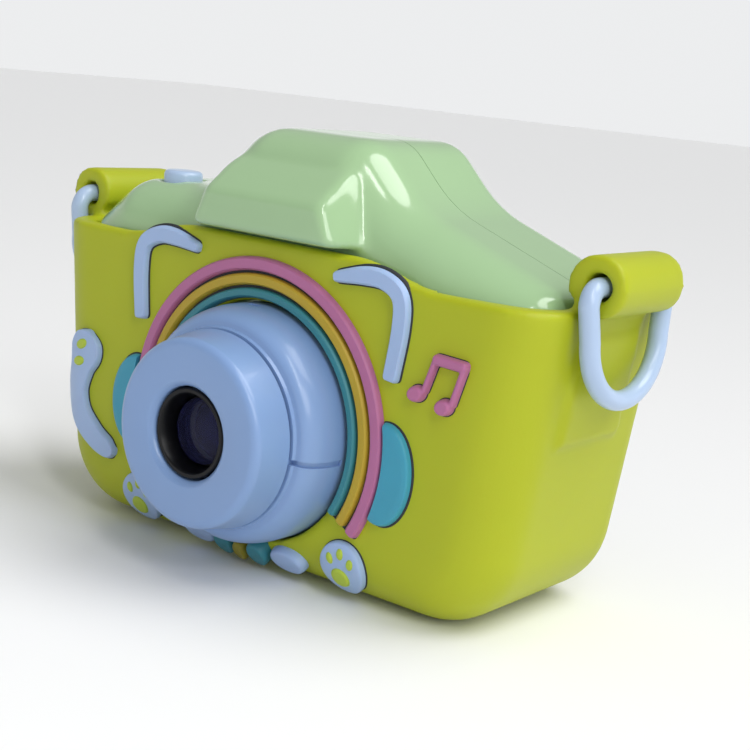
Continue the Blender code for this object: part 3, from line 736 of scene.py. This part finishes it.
def make_paws():
    """Two paws, each a blue pad with one large and three small green cushions, and two arms."""
    toes = ((-1.9, 1.1, 0.35), (0.1, 2.1, 0.0), (2.0, 1.0, -0.35))
    for word, x in (("left", -24.0), ("right", 20.5)):
        centre = (x, 6.0)
        keep(blob(f"paw_{word}_skin", centre, 4.3, 4.2), "relief_blue", "paw_relief_" + word)
        # Dark band round the paw: painted groove shade
        outline = blob(f"paw_{word}_groove", centre, 4.55, 4.45, top=GROOVE_SHADE_TOP)
        keep(outline, "groove_painted_shade", slot="black_plastic")
        palm = blob(f"paw_{word}_palm", (x - 0.2, 4.7), 1.9, 1.5, top=RELIEF_TOP + 0.35, base=0.6)
        keep(palm, "relief_green", slot="relief_olive")
        for k, (dx, dz, tilt) in enumerate(toes):
            place = (x + dx, 6.2 + dz)
            toe = blob(f"paw_{word}_toe_{k}", place, 0.75, 1.0, tilt, RELIEF_TOP + 0.3, 0.6, 24)
            keep(toe, "relief_green", slot="relief_olive")
    for word, x in (("left", -10.6), ("right", 8.8)):
        keep(blob(f"arm_{word}_skin", (x, 3.8), 3.7, 1.9, top=1.5), "relief_blue", "arm_relief_" + word)


def make_bow():
    """Two wings and a knot, highest in the middle."""
    for word, x in (("left", -4.7), ("right", 2.6)):
        keep(blob(f"bow_wing_{word}_skin", (x, 3.7), 2.1, 1.9, top=2.0), "relief_teal", "bow_wing_" + word)
    keep(blob("bow_knot_skin", (-1.05, 3.5), 1.35, 1.6, top=2.3), "relief_olive", "bow_knot")


def make_note():
    """A raised note pair over its dark outline of painted groove shade."""
    keep(melted_note("note_skin", 0.0, RELIEF_TOP, 0.3), "relief_pink", "note_relief")
    # Dark band under the note: painted groove shade
    keep(melted_note("note_groove_shade", 0.24, GROOVE_SHADE_TOP, 0.02), "groove_painted_shade", slot="black_plastic")


def melted_note(name, widen, top, raised):
    """Two round heads, two stems and a beam, melted into one piece."""
    shapes = note_shapes(name, widen, top, raised)
    note = shapes.pop()
    for shape in shapes:
        boolean(note, shape, "UNION")
    return soften(note, NOTE_VOXEL, 3)


def note_shapes(name, widen, top, raised):
    lean = 0.32
    stem_half, beam_half = 0.6 + widen, 0.9 + widen
    shapes = []
    tops = []
    for k, (x, z) in enumerate(((31.3, 35.6), (36.3, 34.6))):
        head = blob(f"{name}_head_{k}", (x, z), 1.6 + widen, 1.3 + widen, lean, top + raised, sides=32)
        foot = (x + 1.15, z + 0.2)
        tip = (x + 1.15 + 5.2 * lean, z + 5.6 + 0.7 * k)
        tops.append(tip)
        path = straight((*foot, stem_half), (*tip, stem_half), 12)
        shapes += [head, ribbon(f"{name}_stem_{k}", path, top - 0.01 * k)]
    first, last = tops
    beam = straight((first[0] - 0.6, first[1], beam_half), (last[0] + 0.6, last[1], beam_half), 12)
    shapes.append(ribbon(f"{name}_beam", beam, top + raised / 3, base=-0.45))
    return shapes


def straight(first, last, samples):
    """Evenly spaced tuples from first to last, both included."""
    return [tuple(a + (b - a) * k / samples for a, b in zip(first, last)) for k in range(samples + 1)]


# ---------------------------------------------------------------- camera body


def make_front_shell():
    """The body's front half with the nose that slopes from the lens up to the hump."""
    shell = block("front_shell_skin", body_corners(), BODY_FRONT, SEAM_SPARE, FRONT_ROUND, 0)
    # Nose sections: y, half width at the foot and at the head, low z, high z, radius of the head's corners
    sections = [
        (-22.0, 13.7, 11.4, 54.6, 59.6, 1.0),
        (-21.3, 14.5, 12.0, 54.0, 60.5, 1.2),
        (-16.5, 17.2, 12.0, 54.0, 64.3, 2.0),
        (-12.0, 20.8, 11.3, 54.0, 67.0, 3.2),
        (-7.0, 24.8, 9.8, 54.0, 69.4, 4.2),
        (-3.0, 25.0, 9.0, 54.0, 70.1, 4.6),
        (SEAM_SPARE, 16.0, 8.0, 54.0, 70.1, 5.0),
    ]
    fine = [sections[0]]
    for first, second in zip(sections, sections[1:]):
        fine += straight(first, second, 8)[1:]
    rings = []
    for y, foot, head, low, high, radius in fine:
        corners = [(foot, low, 0.6), (head, high, radius), (-head, high, radius), (-foot, low, 0.6)]
        rings.append([(p.x, y, p.y) for p in rounded(corners, 8)])
    boolean(shell, loft("prism_nose", rings), "UNION")
    cavity = inset(body_corners(), SHELL)
    boolean(shell, block("front_cavity", cavity, BODY_FRONT + SHELL, 6.0, FRONT_ROUND - SHELL, 0))
    boolean(shell, cylinder("lens_tube_hole", (0, -22, LENS_Z), 8.0, 12, (0, 1, 0)))
    boolean(shell, cylinder("shutter_hole", (SHUTTER[0], SHUTTER[1], 53), 3.75, 10, (0, 0, 1)))
    soften(shell, SHELL_VOXEL, 13)
    trim_at(shell, -SEAM, front=True)
    keep(shell, "shell_mint", "front_shell")


def plate(half, low, high, radius):
    """Corners of a round-cornered rectangle centred on x = 0."""
    return [(half, low, radius), (half, high, radius), (-half, high, radius), (-half, low, radius)]


def glass_corners(grow):
    return plate(GLASS_X + grow, GLASS_LOW - grow, GLASS_HIGH + grow, 5.5 + grow)


def node_oval(node):
    """Centre and half sizes in X and Z of a button's cap, in millimetres."""
    low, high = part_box(node)
    flange = 0.6
    half_x = (high.x - low.x) / 2 / MM - flange
    half_z = (high.z - low.z) / 2 / MM - flange
    return (low.x + high.x) / 2 / MM, (low.z + high.z) / 2 / MM, half_x, half_z


def oval_ring(node, y, grow, sides=64):
    """The outline of a key: a petal with pointed ends where it is clearly longer one way, else an oval."""
    x, z, half_x, half_z = node_oval(node)
    sharp_x = 1.35 if half_z > half_x * 1.1 else 1.0
    sharp_z = 1.2 if half_x > half_z * 1.1 else 1.0
    ring = []
    for k in range(sides):
        a = 2 * math.pi * (k + 0.5) / sides
        cos, sin = math.cos(a), math.sin(a)
        across = math.copysign(abs(cos) ** sharp_x, cos)
        up = math.copysign(abs(sin) ** sharp_z, sin)
        ring.append((x + (half_x + grow) * across, y, z + (half_z + grow) * up))
    return ring


def make_rear_shell():
    """The body's back half: screen rim, eyepiece hood, and holes for the keys and sockets."""
    shell = block("rear_shell_skin", body_corners(), -SEAM_SPARE, BODY_BACK, 0, BODY_ROUND)
    rim = block("screen_rim", glass_corners(1.0), BODY_BACK - 1.0, BODY_BACK + 0.7, back=0.4)
    boolean(shell, rim, "UNION")
    hood = [(14.0, 51.6, 0.5), (14.0, 65.3, 6.0), (-14.0, 65.3, 6.0), (-14.0, 51.6, 0.5)]
    boolean(shell, block("eyepiece_hood", hood, 12.0, FACE, back=0.8), "UNION")
    boolean(shell, block("rear_cavity", inset(body_corners(), SHELL), -6.0, BODY_BACK - 2.4))
    boolean(shell, block("hood_recess", plate(12.0, 40.0, 63.3, 4.4), 16.6, 25.0))
    boolean(shell, block("glass_recess", glass_corners(0.3), 14.9, 25.0))
    boolean(shell, block("lcd_window", plate(22.5, 11.0, 46.0, 1.0), 10.0, 20.0))
    boolean(shell, block("eyepiece_recess", plate(6.9, EYE_Z - 4.6, EYE_Z + 4.6, 1.8), 15.5, 20.0))
    for name in REAR_BUTTONS:
        boolean(shell, loft("hole_" + name, [oval_ring(name, 10, 0.4), oval_ring(name, 20, 0.4)]))
    x, z, _, _ = node_oval("power_button")
    boolean(shell, cylinder("power_dish", (x, BODY_BACK - 0.6, z), 4.9, 3, (0, 1, 0)))
    for name, (x, z), front, radius in (
        ("status_hole", STATUS_LIGHT, 10, 0.95),
        ("mic_hole", MICROPHONE, 8, 1.6),
    ):
        boolean(shell, cylinder(name, (x, front, z), radius, 20 - front, (0, 1, 0)))
    for name, node, grow in (("usb_hole", "usb_port", 0.4), ("card_hole", "memory_card", 0.5)):
        low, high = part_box(node)
        first = [low.x / MM - grow, low.y / MM - grow, 0]
        boolean(shell, box(name, first, (high.x / MM + grow, high.y / MM + grow, 8)))
    soften(shell, SHELL_VOXEL, 4)
    trim_at(shell, SEAM, front=False)
    keep(shell, "shell_mint", "rear_shell")


def make_lens():
    """Lens pieces, each a (radius, y) profile turned about the lens axis."""
    back = BODY_FRONT - GAP
    barrel = [(BARREL - 0.4, back), (BARREL, back - 0.4)]
    barrel += quarter(*SHOULDER, SHOULDER_WIDE, SHOULDER_DEEP, 16)
    barrel += [(15.9, -26.9), (15.7, -27.4), (10.5, -27.4), (10.5, -25.4), (16.0, -22.0), (16.0, back)]
    barrel = turned("lens_barrel_skin", barrel)
    cut_barrel_marks(barrel)
    keep(bake(barrel, 40), "trim_blue", "lens_barrel")
    front = [(15.3, -27.7), (15.5, -27.95)] + quarter(13.2, -32.8, 1.5, 1.5, 10)
    front += [(8.3, -34.3), (8.0, -34.2), (7.4, -33.6), (7.3, -33.3), (7.3, -27.7)]
    keep(turned("lens_front_ring_skin", front), "trim_blue", "lens_front_ring")
    bezel = [(7.0, -28.2), (7.0, -33.2), (6.8, -33.4), (6.3, -33.4)]
    bezel += [(6.1, -33.2), (5.6, -31.3), (5.6, -28.2)]
    keep(turned("lens_bezel_skin", bezel), "black_plastic", "lens_bezel")
    steps = [(5.4, -29.2), (5.4, -29.9), (4.7, -29.9), (4.5, -28.6), (4.2, -28.6), (4.2, -29.2)]
    keep(turned("lens_baffle", steps), "gasket_black", slot="black_plastic")
    dome = [*reversed(quarter(0.0, -27.2, 4.1, 2.0, 14)), (0.02, -27.2)]
    keep(turned("lens_element_skin", dome, 64), "clear_lens", "lens_element")
    window = [(5.1, -30.1), (5.1, -30.8), (4.95, -30.9), (0.02, -30.9), (0.02, -30.1)]
    window = turned("lens_window_skin", window, 64)
    keep(window, "window_clear", "lens_window", slot="clear_lens")


def cut_barrel_marks(barrel):
    """A short moulded line at the right of the shoulder and a small notch at its top."""
    line = block("barrel_line", plate(5.0, -0.45, 0.45, 0.4), -30.0, -19.6, steps=4)
    line.location = (18.0 * MM, 0, (LENS_Z - 2.0) * MM)
    line.rotation_euler = (0, math.radians(6), 0)
    boolean(line, cylinder("barrel_line_limit", (0, -40, LENS_Z), 15.0, 40, (0, 1, 0)))
    notch = box("barrel_notch", (-1.1, -21.6, LENS_Z + 18.5), (1.1, -20.4, LENS_Z + 20))
    shallow = 0.45
    radius, y = SHOULDER
    core = quarter(radius - shallow, y, SHOULDER_WIDE, SHOULDER_DEEP - shallow, 16)
    core = [(BARREL - shallow, -17.0), *core, (8.0, -26.35), (8.0, -17.0)]
    boolean(line, turned("barrel_core", core, 96))
    bake(line)
    bake(notch)
    boolean(barrel, line)
    boolean(barrel, notch)


def make_strap_rings():
    """Closed rings: a straight bar in the lug, two legs and a round bow that hangs down."""
    for side, word in SIDES:
        curve = bpy.data.curves.new("ring_path", "CURVE")
        curve.dimensions = "3D"
        curve.bevel_depth = ROD * MM
        curve.bevel_resolution = 8
        spline = curve.splines.new("POLY")
        points = ring_outline()
        spline.points.add(len(points) - 1)
        spline.use_cyclic_u = True
        for point, (y, drop) in zip(spline.points, points):
            x = side * (BAR_X + RING_LEAN * drop)
            point.co = (x * MM, y * MM, (BAR_Z - drop) * MM, 1)
        guide = bpy.data.objects.new("ring_guide", curve)
        bpy.context.scene.collection.objects.link(guide)
        graph = bpy.context.evaluated_depsgraph_get()
        mesh = bpy.data.meshes.new_from_object(guide.evaluated_get(graph))
        bpy.data.objects.remove(guide, do_unlink=True)
        ring = bpy.data.objects.new(f"strap_ring_{word}_skin", mesh)
        bpy.context.scene.collection.objects.link(ring)
        mesh.shade_smooth()
        node = "strap_ring_" + word
        keep(ring, "ring_blue", node, body=node, slot="trim_blue")


def ring_outline():
    """(y, drop below the bar) round the ring: rounded corners, legs, and a half round."""
    corner, bow, straight_part = 2.6, 9.2, 7.6
    half = [(RING_HALF - corner - 2.0, 0.0)]
    for k in range(9):
        a = math.radians(90 * k / 8)
        half.append((RING_HALF - corner + corner * math.sin(a), corner - corner * math.cos(a)))
    for k in range(25):
        a = math.radians(90 * k / 24)
        half.append(((bow + 1.1) * math.cos(a), straight_part + bow * math.sin(a)))
    return half + [(-y, d) for y, d in reversed(half[:-1])]


# ---------------------------------------------------------------- controls and screen


# Rear keys as (y, growth of the outline) steps: a flange with a wall, then a domed top
KEY_FLANGE = ((12.5, 0.6), (13.3, 0.6), (13.3, 0.0), (16.5, 0.0))
KEY_DOME = ((16.85, -0.08), (17.1, -0.3), (17.25, -0.65), (17.35, -1.2))

# Shutter button as (z, radius) steps. The dome's z is measured from the top of the frame's button
SHUTTER_FLANGE = ((54.7, 4.2), (55.6, 4.2), (55.6, 3.35))
SHUTTER_DOME = ((-0.8, 3.35), (-0.35, 3.2), (-0.08, 2.8), (0.0, 2.2))

# The small raised marks on the rear keys
MARK_Y = 17.33
MARK_RISE = 0.12


def make_buttons():
    for name in REAR_BUTTONS:
        rings = [oval_ring(name, y, grow) for y, grow in KEY_FLANGE + KEY_DOME]
        keep(loft(name + "_skin", rings), "ring_blue", name, body=name, slot="trim_blue")
        button_mark(name)
    node = "shutter_button"
    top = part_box(node)[1].z / MM
    rings = []
    for z, radius in (*SHUTTER_FLANGE, *((top + below, radius) for below, radius in SHUTTER_DOME)):
        flat = circle(SHUTTER[0], z, SHUTTER[1], radius, 64)
        rings.append([(x, y, height) for x, height, y in flat])
    keep(loft(node + "_skin", rings), "ring_blue", node, body=node, slot="trim_blue")


def button_mark(name):
    """A small raised mark on each cap: a ring on the power key and a wedge on each arrow key."""
    x, z, _, _ = node_oval(name)
    levels = (MARK_Y, MARK_Y + MARK_RISE)
    if name == "power_button":
        mark = loft(name + "_mark", [circle(x, y, z, 1.3, 36) for y in levels])
        boolean(mark, cylinder("mark_cut", (x, MARK_Y - 1, z), 0.95, 3, (0, 1, 0), 36))
        bake(mark, 30)
    else:
        aim = {"up_button": 90, "left_button": 0, "right_button": 180, "down_button": -90}[name]
        points = []
        for turn, reach in ((0, 0.9), (130, 0.75), (-130, 0.75)):
            a = math.radians(aim + turn)
            points.append((x + reach * math.cos(a), z + reach * math.sin(a), 0.15))
        mark = loft(name + "_mark", [ring_at(points, y, 0, 4) for y in levels])
    keep(mark, "mark_blue", body=name, slot="trim_blue")


def make_screen():
    """Screen glass with its lit panel, the eyepiece window, the microphone and the status light."""
    glass = block("screen_glass_skin", glass_corners(0.0), 15.2, 16.35, back=0.35)
    keep(glass, "dark_glass", "screen_glass")
    panel = block("screen_panel", plate(20.5, 11.7, 45.1, 0.4), 16.3, 16.38)
    keep(panel, "panel_glow", slot="dark_glass")
    eye = block("eyepiece_window_skin", plate(6.6, EYE_Z - 4.3, EYE_Z + 4.3, 1.6), 15.8, 16.75, back=0.3)
    keep(eye, "dark_glass", "eyepiece_window")
    profile = ((11.0, 1.3), (15.5, 1.3), (15.75, 1.1), (15.75, 0.7), (15.3, 0.5))
    keep(stud("microphone_skin", MICROPHONE, profile, 30), "black_plastic", "microphone")
    profile = ((10.4, 0.7), (15.6, 0.7), (15.85, 0.55), (15.95, 0.25))
    keep(stud("status_light_skin", STATUS_LIGHT, profile, 24), "clear_lens", "status_light")


def stud(name, centre, profile, sides):
    """A small round piece in the rear face, from (y, radius) steps."""
    x, z = centre
    return loft(name, [circle(x, y, z, radius, sides) for y, radius in profile])


# ---------------------------------------------------------------- studio


def area_light(name, location, size, power, target=(0, 0, 0.03)):
    data = bpy.data.lights.new(name, "AREA")
    data.shape = "RECTANGLE"
    data.size, data.size_y = size
    data.energy = power
    obj = bpy.data.objects.new(name, data)
    obj.location = location
    obj.rotation_euler = (Vector(target) - Vector(location)).to_track_quat("-Z", "Y").to_euler()
    bpy.context.scene.collection.objects.link(obj)
    return obj


def make_studio():
    """A pale floor, an even sun, and two area lights from the right."""
    bm = bmesh.new()
    bmesh.ops.create_grid(bm, x_segments=2, y_segments=2, size=3000)
    floor = add_mesh("studio_floor", bm)
    floor.location.z = -0.0002
    mat = bpy.data.materials.new("studio_floor")
    mat.use_nodes = True
    shader = mat.node_tree.nodes["Principled BSDF"]
    shader.inputs["Base Color"].default_value = (0.88, 0.88, 0.88, 1)
    shader.inputs["Roughness"].default_value = 0.8
    floor.data.materials.append(mat)
    bpy.context.scene.world = make_world()
    soft_sun("overhead", (0.45, 0.28, 0.85), 1.75, 40)
    area_light("key", (0.50, -0.25, 0.32), (0.26, 0.26), 0.9)
    area_light("strip", (0.26, -0.20, 0.42), (0.05, 0.30), 0.5)
    bpy.context.scene.view_settings.view_transform = "Standard"


def make_world():
    """A pale room: bright round the horizon, dimmer overhead."""
    world = bpy.data.worlds.new("studio")
    world.use_nodes = True
    nodes, links = world.node_tree.nodes, world.node_tree.links
    way = nodes.new("ShaderNodeTexCoord")
    split = nodes.new("ShaderNodeSeparateXYZ")
    links.new(way.outputs["Generated"], split.inputs["Vector"])
    fade = nodes.new("ShaderNodeMapRange")
    fade.inputs["From Min"].default_value = 0.12
    fade.inputs["From Max"].default_value = 0.35
    fade.inputs["To Min"].default_value = 0.86
    fade.inputs["To Max"].default_value = 0.38
    links.new(split.outputs["Z"], fade.inputs["Value"])
    links.new(fade.outputs["Result"], nodes["Background"].inputs["Strength"])
    nodes["Background"].inputs["Color"].default_value = (0.98, 0.99, 1.0, 1)
    return world


def soft_sun(name, direction, strength, width):
    """An even, soft light from one direction, width degrees across."""
    data = bpy.data.lights.new(name, "SUN")
    data.energy = strength
    data.angle = math.radians(width)
    obj = bpy.data.objects.new(name, data)
    obj.rotation_euler = Vector(direction).to_track_quat("Z", "Y").to_euler()
    bpy.context.scene.collection.objects.link(obj)


def make_camera():
    """A close camera in front and to the right, tipped a little clockwise."""
    data = bpy.data.cameras.new("view")
    data.lens = 70.0
    data.sensor_width = 36.0
    data.clip_start = 0.01
    camera = bpy.data.objects.new("view", data)
    spot = Vector((0.1497, -0.1878, 0.0800))
    aim = Vector((0.0090, -0.0002, 0.0318))
    tilt = math.radians(5.7)
    camera.location = spot
    turn = (aim - spot).to_track_quat("-Z", "Y").to_matrix().to_4x4() @ Matrix.Rotation(tilt, 4, "Z")
    camera.rotation_euler = turn.to_euler()
    bpy.context.scene.collection.objects.link(camera)
    bpy.context.scene.camera = camera


make_materials()
dress_frame()
make_case()
make_reliefs()
make_front_shell()
make_rear_shell()
make_lens()
make_strap_rings()
make_buttons()
make_screen()
make_studio()
make_camera()
